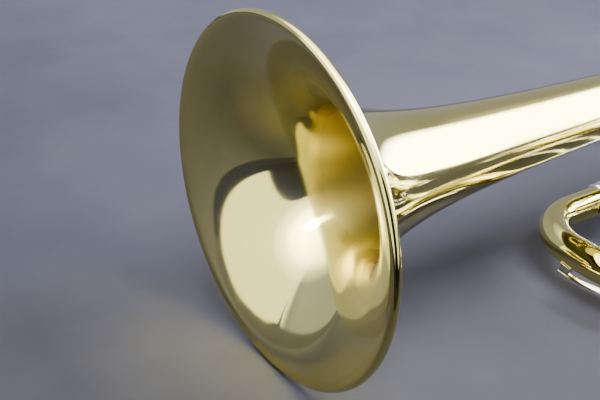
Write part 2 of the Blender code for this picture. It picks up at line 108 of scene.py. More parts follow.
# --- Material nodes ---
def new_material(name):
    """A material with its nodes, links and shader."""
    material = bpy.data.materials.new(name)
    material.use_nodes = True
    nodes = material.node_tree.nodes
    return material, nodes, material.node_tree.links, nodes["Principled BSDF"]


def texture(nodes, links, kind, scale, stretch=(1.0, 1.0, 1.0), **inputs):
    """A 3-D texture in object space, stretched along the axes."""
    coord = nodes.new("ShaderNodeTexCoord")
    mapping = nodes.new("ShaderNodeMapping")
    mapping.inputs["Scale"].default_value = stretch
    node = nodes.new(kind)
    node.inputs["Scale"].default_value = scale
    for key, value in inputs.items():
        node.inputs[key].default_value = value
    links.new(coord.outputs["Object"], mapping.inputs["Vector"])
    links.new(mapping.outputs["Vector"], node.inputs["Vector"])
    return node


def ramp(nodes, links, source, stops):
    """A colour ramp over a texture's value; stops are (position, colour)."""
    node = nodes.new("ShaderNodeValToRGB")
    elements = node.color_ramp.elements
    while len(elements) < len(stops):
        elements.new(0.5)
    for element, (position, colour) in zip(elements, stops):
        element.position = position
        element.color = colour if len(colour) == 4 else (*colour, 1.0)
    links.new(source, node.inputs["Fac"])
    return node.outputs["Color"]


def mix(nodes, links, factor, first, second):
    """Fades from one colour to another by a factor."""
    node = nodes.new("ShaderNodeMix")
    node.data_type = "RGBA"
    links.new(factor, node.inputs["Factor"])
    links.new(first, node.inputs["A"])
    links.new(second, node.inputs["B"])
    return node.outputs["Result"]


def combine(nodes, links, kind, first, second):
    """Two colours put together in full; kind is ADD or MULTIPLY."""
    node = nodes.new("ShaderNodeMix")
    node.data_type = "RGBA"
    node.blend_type = kind
    node.inputs["Factor"].default_value = 1.0
    links.new(first, node.inputs["A"])
    links.new(second, node.inputs["B"])
    return node.outputs["Result"]


def new_colour(nodes, colour):
    """A constant colour as a node."""
    node = nodes.new("ShaderNodeRGB")
    node.outputs[0].default_value = (*colour, 1.0)
    return node.outputs[0]


def grey(value):
    """A neutral colour."""
    return (value, value, value)


def along_axis(nodes, links, axis, low, high):
    """0 to 1 between two layout distances along an axis."""
    coord = nodes.new("ShaderNodeTexCoord")
    split = nodes.new("ShaderNodeSeparateXYZ")
    links.new(coord.outputs["Object"], split.inputs["Vector"])
    span = nodes.new("ShaderNodeMapRange")
    span.inputs["From Min"].default_value = place(low, low, low)["XYZ".index(axis)]
    span.inputs["From Max"].default_value = place(high, high, high)["XYZ".index(axis)]
    links.new(split.outputs[axis], span.inputs["Value"])
    return span.outputs["Result"]


def add_bump(nodes, links, shader, height, strength, distance):
    """Bumps a material by a texture's value; distance is in metres."""
    bump = nodes.new("ShaderNodeBump")
    bump.inputs["Strength"].default_value = strength
    bump.inputs["Distance"].default_value = distance
    links.new(height, bump.inputs["Height"])
    links.new(bump.outputs["Normal"], shader.inputs["Normal"])


def metal(name, tints, rough, coat, scratch_stretch=(1.0, 1.0, 1.0), wear=0.02):
    """Polished metal: cloudy tint, handling marks in the gloss and very fine scratches."""
    material, nodes, links, shader = new_material(name)
    cloud = texture(nodes, links, "ShaderNodeTexNoise", 28.0, Detail=5.0, Roughness=0.6)
    colour = ramp(nodes, links, cloud.outputs["Fac"], [(0.30, tints[0]), (0.72, tints[1])])
    links.new(colour, shader.inputs["Base Color"])
    marks = texture(nodes, links, "ShaderNodeTexNoise", 90.0, Detail=6.0, Roughness=0.65)
    gloss = ramp(nodes, links, marks.outputs["Fac"],
                 [(0.35, grey(rough[0])), (0.80, grey(rough[1]))])
    links.new(gloss, shader.inputs["Roughness"])
    fine = texture(nodes, links, "ShaderNodeTexNoise", 1400.0, scratch_stretch, Detail=3.0)
    add_bump(nodes, links, shader, fine.outputs["Fac"], wear, 0.0001)
    shader.inputs["Metallic"].default_value = 1.0
    shader.inputs["Coat Weight"].default_value = coat
    shader.inputs["Coat Roughness"].default_value = 0.03
    return material


def add_dullness(nodes, links, shader, extra):
    """Adds a grey value to a material's roughness."""
    total = combine(nodes, links, "ADD", shader.inputs["Roughness"].links[0].from_socket, extra)
    links.new(total, shader.inputs["Roughness"])


def bell_outside():
    """The bell's outer face: bright at the flare, duller from handling towards the valves."""
    material = metal("brass_spun_bell", BRASS_TINTS, (0.04, 0.09), 0.35, ROUND_X, 0.03)
    nodes = material.node_tree.nodes
    links = material.node_tree.links
    handled = ramp(nodes, links, along_axis(nodes, links, "X", 20.0, 260.0),
                   [(0.0, grey(0.0)), (1.0, grey(0.14))])
    add_dullness(nodes, links, nodes["Principled BSDF"], handled)
    return material


def bell_inside():
    """The spun inner face: crisp at the mouth, duller and painted a darker deep gold as shade down the
    throat, brushed round its axis.
    """
    material = metal("brass_bell_inside", BRASS_TINTS, (0.05, 0.09), 0.5, ROUND_X, 0.03)
    nodes = material.node_tree.nodes
    links = material.node_tree.links
    shader = nodes["Principled BSDF"]
    depth = along_axis(nodes, links, "X", 8.0, 70.0)
    dull = ramp(nodes, links, depth,
                [(0.0, grey(0.0)), (0.36, grey(0.02)), (0.46, grey(0.24)), (1.0, grey(0.36))])
    # Painted shade: the base colour turns a darker, deeper gold down the throat, standing in for the light
    # lost there after many bounces.
    deep = new_colour(nodes, (0.47, 0.385, 0.10))
    reach = ramp(nodes, links, depth, [(0.30, grey(0.0)), (0.45, grey(1.0))])
    tint = mix(nodes, links, reach, shader.inputs["Base Color"].links[0].from_socket, deep)
    links.new(tint, shader.inputs["Base Color"])
    add_dullness(nodes, links, shader, dull)
    lacquer = ramp(nodes, links, depth, [(0.30, grey(0.5)), (0.46, grey(0.0))])
    links.new(lacquer, shader.inputs["Coat Weight"])
    tangent = nodes.new("ShaderNodeTangent")
    tangent.direction_type = "RADIAL"
    tangent.axis = "X"
    links.new(tangent.outputs["Tangent"], shader.inputs["Tangent"])
    shader.inputs["Anisotropic"].default_value = 0.8
    shader.inputs["Anisotropic Rotation"].default_value = 0.25
    shader.inputs["Coat Roughness"].default_value = 0.45
    return material


def felt():
    """Pressed wool under the buttons."""
    material, nodes, links, shader = new_material("felt_wool")
    fuzz = texture(nodes, links, "ShaderNodeTexNoise", 1900.0, Detail=8.0, Roughness=0.8)
    colour = ramp(nodes, links, fuzz.outputs["Fac"],
                  [(0.30, (0.52, 0.48, 0.40)), (0.70, (0.86, 0.83, 0.75))])
    links.new(colour, shader.inputs["Base Color"])
    add_bump(nodes, links, shader, fuzz.outputs["Fac"], 0.8, 0.0006)
    shader.inputs["Roughness"].default_value = 0.95
    shader.inputs["Sheen Weight"].default_value = 0.5
    return material


def cork():
    """Natural cork of the water keys."""
    material, nodes, links, shader = new_material("cork_natural")
    grain = texture(nodes, links, "ShaderNodeTexVoronoi", 1100.0)
    colour = ramp(nodes, links, grain.outputs["Distance"],
                  [(0.05, (0.28, 0.15, 0.07)), (0.45, (0.66, 0.46, 0.27))])
    links.new(colour, shader.inputs["Base Color"])
    add_bump(nodes, links, shader, grain.outputs["Distance"], 0.5, 0.0004)
    shader.inputs["Roughness"].default_value = 0.88
    return material


def pearl():
    """Mother of pearl on the buttons."""
    material, nodes, links, shader = new_material("mother_of_pearl")
    layers = texture(nodes, links, "ShaderNodeTexNoise", 260.0, (1.0, 0.3, 1.6),
                     Detail=4.0, Distortion=1.6)
    colour = ramp(nodes, links, layers.outputs["Fac"], [
        (0.30, (0.72, 0.78, 0.76)),
        (0.48, (0.90, 0.88, 0.84)),
        (0.62, (0.88, 0.78, 0.80)),
        (0.80, (0.92, 0.92, 0.86)),
    ])
    links.new(colour, shader.inputs["Base Color"])
    add_bump(nodes, links, shader, layers.outputs["Fac"], 0.05, 0.0003)
    shader.inputs["Roughness"].default_value = 0.22
    shader.inputs["Coat Weight"].default_value = 0.8
    shader.inputs["Coat Roughness"].default_value = 0.04
    return material


BRASS_TINTS = ((0.55, 0.485, 0.145), (0.61, 0.54, 0.175))
NICKEL_TINTS = ((0.66, 0.64, 0.59), (0.76, 0.74, 0.70))
ALONG_X = (0.08, 1.0, 1.0)
ALONG_Y = (1.0, 0.08, 1.0)
ROUND_X = (1.0, 0.02, 0.02)

MATERIALS = {
    "lacquered_brass": metal("brass_lacquered", BRASS_TINTS, (0.035, 0.10), 0.35, ALONG_X),
    "bell_inside": bell_inside(),
    "bell_brass": bell_outside(),
    "button_brass": metal("brass_buttons", BRASS_TINTS, (0.06, 0.16), 0.25, ALONG_Y),
    "nickel_silver": metal("nickel_silver_polished", NICKEL_TINTS, (0.06, 0.18), 0.15, ALONG_X),
    "piston_nickel": metal("piston_honed", ((0.55, 0.55, 0.53), (0.68, 0.68, 0.66)), (0.18, 0.34),
                           0.0, ALONG_Y, 0.10),
    "spring_steel": metal("steel_wire", ((0.40, 0.41, 0.42), (0.56, 0.57, 0.58)), (0.22, 0.38), 0.0),
    "silver_plate": metal("silver_plated", ((0.80, 0.79, 0.76), (0.90, 0.89, 0.87)), (0.04, 0.12),
                          0.1, ROUND_X),
    "felt": felt(),
    "cork": cork(),
    "pearl": pearl(),
}


# --- Mesh makers ---
def make(name, vertices, faces, body, slot, nodes=(), look=None):
    """A smooth mesh in the world frame that rides on a body."""
    mesh = bpy.data.meshes.new(name)
    mesh.from_pydata([tuple(v) for v in vertices], [], faces)
    mesh.validate()
    mesh.shade_smooth()
    mesh.set_sharp_from_angle(angle=math.radians(38.0))
    mesh.materials.append(MATERIALS[look or slot])
    item = bpy.data.objects.new(name, mesh)
    bpy.context.scene.collection.objects.link(item)
    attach(item, body)
    if nodes:
        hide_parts(*nodes)
    return item


def stand_for(node, vertices, faces, look=None):
    """A fine piece in place of one CAD node."""
    return make(node + "_fine", vertices, faces, BODY_OF[node], SLOT_OF[node], (node,), look)


def basis(axis):
    """Two unit directions square to an axis."""
    axis = Vector(axis).normalized()
    side = Vector(Z_DIR if abs(axis.z) < 0.9 else Y_DIR)
    first = (side - axis * side.dot(axis)).normalized()
    return axis, first, axis.cross(first)


def lathe(profile, at, axis, count=96, ripple=None):
    """A turned surface. profile is a closed loop of (radius, height) or runs from axis to axis.

    It goes round the section so that the solid lies on its left. ripple(height, angle, radius)
    may change a radius, for knurling.
    """
    axis, first, second = basis(axis)
    closed = profile[0][0] > 1e-6 or profile[-1][0] > 1e-6
    vertices = []
    rings = []
    for r, h in profile:
        centre = place(*at) + axis * h * MM
        if r < 1e-6:
            rings.append([len(vertices)])
            vertices.append(centre)
            continue
        start = len(vertices)
        for k in range(count):
            angle = math.tau * k / count
            radius = ripple(h, angle, r) if ripple else r
            vertices.append(centre + (first * math.cos(angle) + second * math.sin(angle)) * radius * MM)
        rings.append(list(range(start, start + count)))
    faces = []
    total = len(rings) if closed else len(rings) - 1
    for i in range(total):
        a = rings[i]
        b = rings[(i + 1) % len(rings)]
        for k in range(count):
            j = (k + 1) % count
            if len(a) == 1:
                faces.append((a[0], b[j], b[k]))
            elif len(b) == 1:
                faces.append((a[k], a[j], b[0]))
            else:
                faces.append((a[k], a[j], b[j], b[k]))
    return vertices, faces


def arc(centre, radius, start, end, count):
    """(first, second) points on an arc, in degrees."""
    points = []
    for i in range(count + 1):
        angle = math.radians(start + (end - start) * i / count)
        points.append((centre[0] + radius * math.cos(angle), centre[1] + radius * math.sin(angle)))
    return points


def rounded(points, radius, closed=True, steps=3):
    """The outline with each corner replaced by a small arc; points may carry their own radius."""
    result = []
    total = len(points)
    for i, point in enumerate(points):
        own = point[2] if len(point) > 2 else radius
        here = Vector(point[:2])
        if own <= 0.0 or (not closed and i in (0, total - 1)):
            result.append(tuple(here))
            continue
        before = Vector(points[i - 1][:2]) - here
        after = Vector(points[(i + 1) % total][:2]) - here
        reach = min(own, before.length * 0.45, after.length * 0.45)
        start = here + before.normalized() * reach
        end = here + after.normalized() * reach
        for k in range(steps + 1):
            t = k / steps
            result.append(tuple(start * (1 - t) ** 2 + here * 2 * t * (1 - t) + end * t ** 2))
    return result


def directions(points):
    """The unit tangent at each point of a path."""
    last = len(points) - 1
    return [(points[min(i + 1, last)] - points[max(i - 1, 0)]).normalized() for i in range(last + 1)]


def tube_faces(count, sides):
    """Faces of a capped tube made of rings with the same number of sides."""
    faces = [tuple(range(sides))[::-1]]
    for a in range(0, (count - 1) * sides, sides):
        b = a + sides
        for k in range(sides):
            j = (k + 1) % sides
            faces.append((a + k, a + j, b + j, b + k))
    faces.append(tuple(range((count - 1) * sides, count * sides)))
    return faces


def sweep(path, radius, sides=40):
    """A capped round tube along layout points; radius is a number or a list."""
    points = [place(*p) for p in path]
    tangents = directions(points)
    first = basis(tangents[0])[1]
    vertices = []
    for i, (point, tangent) in enumerate(zip(points, tangents)):
        first = (first - tangent * first.dot(tangent)).normalized()
        second = tangent.cross(first)
        size = radius[i] if isinstance(radius, (list, tuple)) else radius
        for k in range(sides):
            angle = math.tau * k / sides
            vertices.append(point + (first * math.cos(angle) + second * math.sin(angle)) * size * MM)
    return vertices, tube_faces(len(points), sides)


def ribbon(path, across, widths, thickness):
    """A strip with round edges along layout points; across is its fixed width direction."""
    points = [place(*p) for p in path]
    across = Vector(across).normalized()
    steps = 6
    vertices = []
    for point, tangent, width in zip(points, directions(points), widths):
        normal = across.cross(tangent).normalized()
        half = width / 2 * MM
        deep = thickness / 2 * MM
        for side in (1, -1):
            for k in range(steps + 1):
                angle = math.pi * (k / steps - 0.5)
                w = side * (half - deep + deep * math.cos(angle))
                vertices.append(point + across * w + normal * side * deep * math.sin(angle))
    return vertices, tube_faces(len(points), 2 * (steps + 1))


def join(*shapes):
    """Several vertex and face lists as one."""
    vertices = []
    faces = []
    for more, polygons in shapes:
        base = len(vertices)
        vertices.extend(more)
        faces.extend(tuple(i + base for i in polygon) for polygon in polygons)
    return vertices, faces


# --- Bell ---
def flare(s):
    """Outer radius of the bell at a distance s behind the mouth."""
    return THROAT_RADIUS + FLARE_TAPER * (FLARE_END - s) + FLARE_SWELL * (1.0 + s / FLARE_LENGTH) ** -4


def flare_slope(s):
    """How fast the radius changes there."""
    return -FLARE_TAPER - 4.0 * FLARE_SWELL / FLARE_LENGTH * (1.0 + s / FLARE_LENGTH) ** -5


def make_bell():
    """The bell from its beaded rim to its tail, with its own material inside."""
    stations = [1.1 * (BELL_TAIL / 1.1) ** (i / 150) for i in range(151)]
    outer = []
    inner = []
    for s in stations:
        scale = BELL_WALL / math.hypot(1.0, flare_slope(s))
        outer.append((flare(s), s))
        inner.append((flare(s) - scale, s + scale * flare_slope(s)))
    bead = arc((BELL_RADIUS - BEAD, BEAD), BEAD, -114.0, 188.0, 30)
    inner[-1] = (inner[-1][0], BELL_TAIL)
    loop = bead + outer + inner[::-1]
    around_it = 192
    shape = lathe(loop, (0.0, 0.0, BELL_Z), X_DIR, around_it)
    item = stand_for("bell", *shape, look="bell_brass")
    item.data.materials.append(MATERIALS["bell_inside"])
    first = (len(bead) + len(outer)) * around_it
    for polygon in item.data.polygons:
        if min(polygon.vertices) >= first:
            polygon.material_index = 1


def make_bell_bow():
    """Ferrule, rear bow and the tube back to the first valve."""
    collar = Span("bell_ferrule")
    r = collar.size.y / 2
    x0, x1 = collar.low.x, collar.high.x
    loop = [(6.45, x0), (r - 0.5, x0), (r, x0 + 1.2), (r - 0.35, x0 + 2.4), (r - 0.35, x1 - 2.4),
            (r, x1 - 1.2), (r - 0.5, x1), (6.45, x1)]
    stand_for("bell_ferrule", *lathe(rounded(loop, 0.4), (0.0, 0.0, BELL_Z), X_DIR))

    back = Span("bell_return_tube")
    end_x = back.high.x + 6.3
    drop = Vector((0.0, back.mid.y, back.mid.z - BELL_Z))
    middle = Vector((end_x, 0.0, BELL_Z)) + drop / 2
    path = [(BELL_TAIL - 2.0, 0.0, BELL_Z), (end_x - 8.0, 0.0, BELL_Z)]
    for i in range(65):
        angle = math.pi * i / 64
        out = Vector((drop.length / 2 * math.sin(angle), 0.0, 0.0))
        path.append(tuple(middle - drop / 2 * math.cos(angle) + out))
    path.append((back.high.x - 4.0, back.mid.y, back.mid.z))
    stand_for("bell_bow", *sweep(path, BOW_RADIUS, 48))
    line = [(VALVES[1].mid.x + 7.0, back.mid.y, back.mid.z), (back.high.x, back.mid.y, back.mid.z)]
    stand_for("bell_return_tube", *sweep(line, back.size.y / 2, 48))
    add_collar("return_ferrule", back.high.x - 9.0, 18.0, 6.2, 7.3, (back.mid.y, back.mid.z), "trumpet")


def add_collar(name, x, length, bore, radius, centre, body, slot="nickel_silver"):
    """A beaded ferrule along X, drawn only here."""
    loop = [(bore, x), (radius - 0.5, x), (radius, x + 1.0), (radius - 0.4, x + 2.0),
            (radius - 0.4, x + length - 2.0), (radius, x + length - 1.0), (radius - 0.5, x + length),
            (bore, x + length)]
    make(name, *lathe(rounded(loop, 0.4), (0.0, *centre), X_DIR), body, slot)


# --- Valves ---
def knurl(count, depth, low, high):
    """Radius ripple over a band of heights."""

    def ripple(height, angle, radius):
        if low < height < high:
            return radius - depth * (0.5 - 0.5 * math.cos(count * angle))
        return radius

    return ripple


def make_valve(number):
    """A casing with its caps, and the valve in it."""
    case = VALVES[number]
    at = (case.mid.x, 0.0, VALVE_Z)
    y0, y1 = case.low.y, case.high.y
    r = CASING_RADIUS
    loop = [(CASING_BORE, y0), (r, y0), (r, y0 + 16.0), (r + 0.35, y0 + 16.6), (r + 0.35, y0 + 18.4),
            (r, y0 + 19.0), (r, y1 - 13.0), (r + 0.35, y1 - 12.4), (r + 0.35, y1 - 10.6),
            (r, y1 - 10.0), (r, y1), (CASING_BORE, y1)]
    stand_for("valve_casing_%d" % number, *lathe(rounded(loop, 0.3), at, Y_DIR))

    cap = Span("top_cap_%d" % number)
    c0, c1, cr = cap.low.y, cap.high.y, cap.size.x / 2
    loop = [(CAP_BORE, c0), (cr - 0.6, c0), (cr - 0.2, c0 + 0.9), (cr - 0.2, c0 + 1.6), (cr, c0 + 2.0),
            (cr, c0 + 7.4), (cr - 0.2, c0 + 7.8), (cr - 0.4, c0 + 9.2), (cr - 1.6, c0 + 10.6),
            (cr - 3.0, c0 + 11.0), (cr - 3.6, c1), (3.6, c1), (3.6, c1 - 4.0), (CAP_BORE, c1 - 4.0)]
    band = dense(rounded(loop, 0.35), c0 + 2.1, c0 + 7.3)
    shape = lathe(band, at, Y_DIR, 288, knurl(48, 0.28, c0 + 2.2, c0 + 7.2))
    stand_for("top_cap_%d" % number, *shape)

    foot = Span("bottom_cap_%d" % number)
    f0, f1 = foot.low.y, foot.high.y
    loop = [(1.5, f0), (4.2, f0, 0.3), (4.6, f0 + 0.5, 0.3), (6.0, f0 + 0.5, 0.3), (6.4, f0, 0.3),
            (8.6, f0), (cr - 1.0, f0 + 1.4), (cr, f0 + 2.6), (cr, f0 + 7.6), (cr - 0.3, f0 + 8.2),
            (cr - 0.3, f1), (CAP_BORE, f1), (CAP_BORE, f0 + 3.2), (1.5, f0 + 3.2)]
    band = dense(rounded(loop, 0.35), f0 + 2.7, f0 + 7.5)
    shape = lathe(band, at, Y_DIR, 288, knurl(48, 0.28, f0 + 2.8, f0 + 7.4))
    stand_for("bottom_cap_%d" % number, *shape)
    make_piston(number, at)


def dense(loop, low, high):
    """Adds heights just inside a band, so that a ripple there has sharp ends."""
    result = []
    for i, point in enumerate(loop):
        result.append(point)
        after = loop[(i + 1) % len(loop)]
        if abs(after[1] - point[1]) > (high - low) * 0.7 and abs(after[0] - point[0]) < 0.2:
            if min(point[1], after[1]) <= low + 0.5 and max(point[1], after[1]) >= high - 0.5:
                rising = after[1] > point[1]
                for t in (0.03, 0.06, 0.12, 0.88, 0.94, 0.97):
                    h = low + (high - low) * (t if rising else 1.0 - t)
                    result.append((point[0], h))
    return result


def make_piston(number, at):
    """Piston, stem with its button, pearl, felt and spring."""
    piston = Span("piston_%d" % number)
    p0, p1, pr = piston.low.y, piston.high.y, piston.size.x / 2
    loop = [(0.0, p0 + 5.0), (7.0, p0 + 5.0), (7.0, p0), (pr, p0), (pr, p0 + 9.0), (pr - 0.25, p0 + 9.3),
            (pr - 0.25, p0 + 9.9), (pr, p0 + 10.2), (pr, p1 - 4.0), (pr - 0.25, p1 - 3.7),
            (pr - 0.25, p1 - 3.1), (pr, p1 - 2.8), (pr, p1), (7.4, p1), (7.4, p1 - 41.0),
            (0.0, p1 - 41.0)]
    stand_for("piston_%d" % number, *lathe(rounded(loop, 0.15, False), at, Y_DIR))

    stem = Span("button_stem_%d" % number)
    s0, s1, sr = stem.low.y, stem.high.y, stem.size.x / 2
    loop = [(0.0, s0), (7.0, s0), (7.0, s0 + 3.3), (2.5, s0 + 3.3), (2.5, s1 - 5.6), (3.2, s1 - 5.2),
            (4.6, s1 - 5.0), (6.4, s1 - 4.6), (sr - 0.3, s1 - 3.4), (sr, s1 - 2.4), (sr, s1 - 1.2),
            (sr - 0.5, s1 - 0.4), (sr - 1.2, s1, 0.2), (6.5, s1, 0.1), (6.5, s1 - 1.2), (0.0, s1 - 1.2)]
    stand_for("button_stem_%d" % number, *lathe(rounded(loop, 0.5, False), at, Y_DIR))

    shell = Span("button_pearl_%d" % number)
    q0, q1 = shell.low.y, shell.high.y
    dome = [(6.3 * math.sin(math.radians(a)), q1 - 0.9 * (1 - math.cos(math.radians(a))))
            for a in (90, 75, 60, 48, 36, 24, 12)]
    loop = [(0.0, q0), (6.3, q0)] + dome + [(0.0, q1)]
    stand_for("button_pearl_%d" % number, *lathe(loop, at, Y_DIR))

    pad = Span("button_felt_%d" % number)
    loop = [(2.7, pad.low.y), (6.3, pad.low.y), (6.3, pad.high.y), (2.7, pad.high.y)]
    stand_for("button_felt_%d" % number, *lathe(rounded(loop, 0.5), at, Y_DIR))

    coil = Span("valve_spring_%d" % number)
    steps = 5 * 32
    path = []
    for i in range(steps + 1):
        angle = math.tau * i / 32
        y = coil.low.y + 0.5 + (coil.size.y - 1.0) * i / steps
        path.append((at[0] + 5.6 * math.cos(angle), y, at[2] + 5.6 * math.sin(angle)))
    spring = stand_for("valve_spring_%d" % number, *sweep(path, 0.45, 12))
    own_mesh(spring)


def make_links():
    """The short tubes between the casings."""
    for node in ("link_tube_12", "link_tube_23"):
        link = Span(node)
        line = [(link.low.x - 1.0, link.mid.y, link.mid.z), (link.high.x + 1.0, link.mid.y, link.mid.z)]
        stand_for(node, *sweep(line, link.size.z / 2, 48))


# --- Main tuning slide ---
def make_tuning_slide():
    """Sleeves, legs, front bow, the elbow to the third valve, braces and nipple."""
    for side in ("upper", "lower"):
        sleeve = Span("tuning_sleeve_" + side)
        r = sleeve.size.y / 2
        x0, x1 = sleeve.low.x, sleeve.high.x
        loop = [(6.2, x0), (r - 0.3, x0), (r, x0 + 0.9), (r - 0.35, x0 + 2.0), (r - 0.35, x0 + 4.2),
                (r, x0 + 5.0), (r - 0.45, x0 + 5.8), (r - 0.45, x1), (6.2, x1)]
        centre = (0.0, sleeve.mid.y, sleeve.mid.z)
        stand_for("tuning_sleeve_" + side, *lathe(rounded(loop, 0.35), centre, X_DIR))
        leg = Span("tuning_leg_" + side)
        r = leg.size.y / 2
        x0, x1 = leg.low.x + 3.0, leg.high.x
        step = sleeve.low.x - 0.3
        loop = [(5.45, x0), (r - 0.5, x0), (r, x0 + 1.0), (r - 0.35, x0 + 1.8), (r - 0.35, step - 1.8),
                (r, step - 1.0), (r - 0.3, step), (5.95, step), (5.95, x1), (5.45, x1)]
        stand_for("tuning_leg_" + side, *lathe(rounded(loop, 0.35), centre, X_DIR))

    bow = Span("tuning_bow")
    r = bow.size.z / 2
    corner = 23.5
    top = bow.high.y - r
    low = bow.low.y + r
    front = bow.low.x + r
    z = bow.mid.z
    flat = [(bow.high.x + 5.0, top)]
    flat += arc((front + corner, top - corner), corner, 90.0, 180.0, 32)
    flat += arc((front + corner, low + corner), corner, 180.0, 270.0, 32)
    flat += [(bow.high.x + 5.0, low)]
    stand_for("tuning_bow", *sweep([(x, y, z) for x, y in flat], r, 64))

    elbow = Span("third_valve_elbow")
    bend = 12.0
    x1 = VALVES[3].mid.x
    z0 = elbow.low.z + BOW_RADIUS
    y = elbow.mid.y
    path = [(elbow.low.x - 2.0, y, z0)]
    path += [(x, y, zz) for x, zz in arc((x1 - bend, z0 + bend), bend, -90.0, 0.0, 24)]
    path.append((x1, y, VALVE_Z - 8.0))
    stand_for("third_valve_elbow", *sweep(path, BOW_RADIUS, 48))
    add_collar("elbow_ferrule", elbow.low.x - 6.0, 11.0, 6.2, 7.45, (y, z0), "trumpet")

    post("sleeve_brace", Y_DIR)
    post("tuning_slide_brace", Y_DIR)
    nipple = Span("water_nipple")
    loop = [(1.2, nipple.low.y), (2.0, nipple.low.y), (2.4, nipple.low.y + 1.2), (3.0, nipple.high.y),
            (3.4, nipple.high.y + 0.8), (1.2, nipple.high.y + 0.8)]
    shape = lathe(rounded(loop, 0.2), (nipple.mid.x, 0.0, nipple.mid.z), Y_DIR, 48)
    stand_for("water_nipple", *shape)


def post(node, axis):
    """A brace: slim rod, a ball in its middle and a flared foot at each end."""
    span = Span(node)
    along = [abs(c) > 0.5 for c in axis].index(True)
    low, high = span.low[along], span.high[along]
    mid = (low + high) / 2
    foot = min(span.size[(along + 1) % 3], span.size[(along + 2) % 3]) / 2
    reach = 0.9                      # into the fillet on each tube
    half = [(0.0, low - reach), (foot + 0.4, low - reach), (foot, low + 0.6), (2.6, low + 1.7),
            (1.8, low + 4.0), (1.7, mid - 4.2), (2.3, mid - 3.6), (2.3, mid - 3.0), (1.9, mid - 2.6),
            (2.9, mid - 1.2), (3.1, mid)]
    loop = half + [(r, 2 * mid - h) for r, h in reversed(half[:-1])]
    at = [span.mid.x, span.mid.y, span.mid.z]
    at[along] = 0.0
    stand_for(node, *lathe(rounded(loop, 0.5, False), tuple(at), axis, 48))


# --- Water keys ---
def smooth_path(points, count):
    """A Catmull-Rom curve through 2-D points."""
    result = []
    last = len(points) - 1
    for i in range(last):
        p = [Vector(points[max(min(j, last), 0)]) for j in (i - 1, i, i + 1, i + 2)]
        for k in range(count):
            t = k / count
            square = 2 * p[0] - 5 * p[1] + 4 * p[2] - p[3]
            cube = 3 * p[1] - p[0] - 3 * p[2] + p[3]
            result.append(0.5 * (2 * p[1] + (p[2] - p[0]) * t + square * t * t + cube * t ** 3))
    result.append(Vector(points[-1]))
    return result


def make_water_key(prefix, points, pivot, width, cork_x, body, holder_body, holder_y):
    """Curved lever, hinge barrel, saddle with screw, cork cup and cork."""
    lever = Span(prefix + "_lever")
    cork = Span(prefix + "_cork")
    z = lever.mid.z
    path = smooth_path(points, 10)
    total = len(path) - 1
    widths = []
    for i in range(total + 1):
        t = i / total
        taper = 1.0 - 0.45 * math.sin(math.pi * min(1.0, t * 1.15)) if t < 0.87 else 0.82 + (t - 0.87) * 1.2
        widths.append(width * taper)
    touch = int(total * 0.9)
    strip = ribbon([(p.x, p.y, z) for p in path[touch:]], Z_DIR, widths[touch:], 1.5)
    edge = sweep([(p.x, p.y, z - width / 2 + 1.6) for p in path], 1.55, 24)
    barrel = lathe(rounded([(0.0, -3.2), (1.9, -3.2), (1.9, 3.2), (0.0, 3.2)], 0.3, False),
                   (pivot[0], pivot[1], z), Z_DIR, 40)
    top = cork.low.y + 0.9
    cup = lathe(rounded([(0.0, top - 2.2), (2.6, top - 2.2), (3.7, top - 1.6), (3.7, top + 0.3),
                         (3.1, top + 0.3), (3.1, top - 0.6), (0.0, top - 0.6)], 0.25, False),
                (cork_x, 0.0, z), Y_DIR, 48)
    coil = []
    steps = 7 * 16
    for i in range(steps + 1):
        angle = math.tau * i / 16
        coil.append((pivot[0] + 2.3 * math.cos(angle), pivot[1] + 2.3 * math.sin(angle),
                     z - 3.1 + 6.2 * i / steps))
    stand_for(prefix + "_lever", *join(strip, edge, barrel, cup))
    make(prefix + "_spring", *sweep(coil, 0.3, 8), body, "spring_steel")
    loop = [(0.0, top - 0.5), (3.0, top - 0.5), (3.0, cork.high.y), (0.0, cork.high.y)]
    stand_for(prefix + "_cork", *lathe(rounded(loop, 0.4, False), (cork_x, 0.0, z), Y_DIR, 48))

    ears = []
    for side in (-1, 1):
        at = (pivot[0], pivot[1], z + side * 4.0)
        ears.append(lathe(rounded([(0.0, -0.6), (2.1, -0.6), (2.1, 0.6), (0.0, 0.6)], 0.25, False),
                          at, Z_DIR, 40))
        ears.append(ribbon([(pivot[0], pivot[1], at[2]), (pivot[0] + 0.6, holder_y, at[2])],
                           X_DIR, [3.6, 5.4], 1.2))
    screw = lathe(rounded([(0.0, -5.6), (1.4, -5.6), (1.6, -5.2), (1.6, -4.6), (0.9, -4.5), (0.9, 5.0),
                           (0.0, 5.0)], 0.15, False), (pivot[0], pivot[1], z), Z_DIR, 32)
    make(prefix + "_saddle", *join(*ears, screw), holder_body, "nickel_silver")


def make_water_keys():
    """The curved levers of the tuning slide and of the third slide."""
    main = [(150.0, -70.6), (143.0, -70.6), (134.0, -69.0), (124.0, -64.0), (116.5, -56.0),
            (112.0, -46.0), (110.5, -36.0), (110.9, -28.4)]
    make_water_key("water_key", main, (134.0, -67.6), 6.0, 146.5, "water_key", "tuning_slide", -61.0)
    third = [(171.0, -74.4), (165.0, -74.4), (158.0, -74.0), (150.0, -71.0), (145.0, -66.0),
             (143.0, -60.4)]
    make_water_key("third_water_key", third, (158.0, -72.4), 5.0, 168.0, "third_water_key",
                   "third_slide", -68.0)


# --- Valve slides ---
def saddle(shape, number, along):
    """Ends a tube in its valve casing's wall, clear of the piston; along is 0 for X and 2 for Z."""
    vertices, faces = shape
    centre = place(VALVES[number].mid.x, 0.0, VALVE_Z)
    wall = (CASING_RADIUS - 0.5) * MM
    for point in vertices:
        off = point - centre
        reach = math.sqrt(max(0.0, wall ** 2 - off[2 - along] ** 2))
        if abs(off[along]) < reach:
            point[along] = centre[along] + math.copysign(reach, off[along])
    return vertices, faces


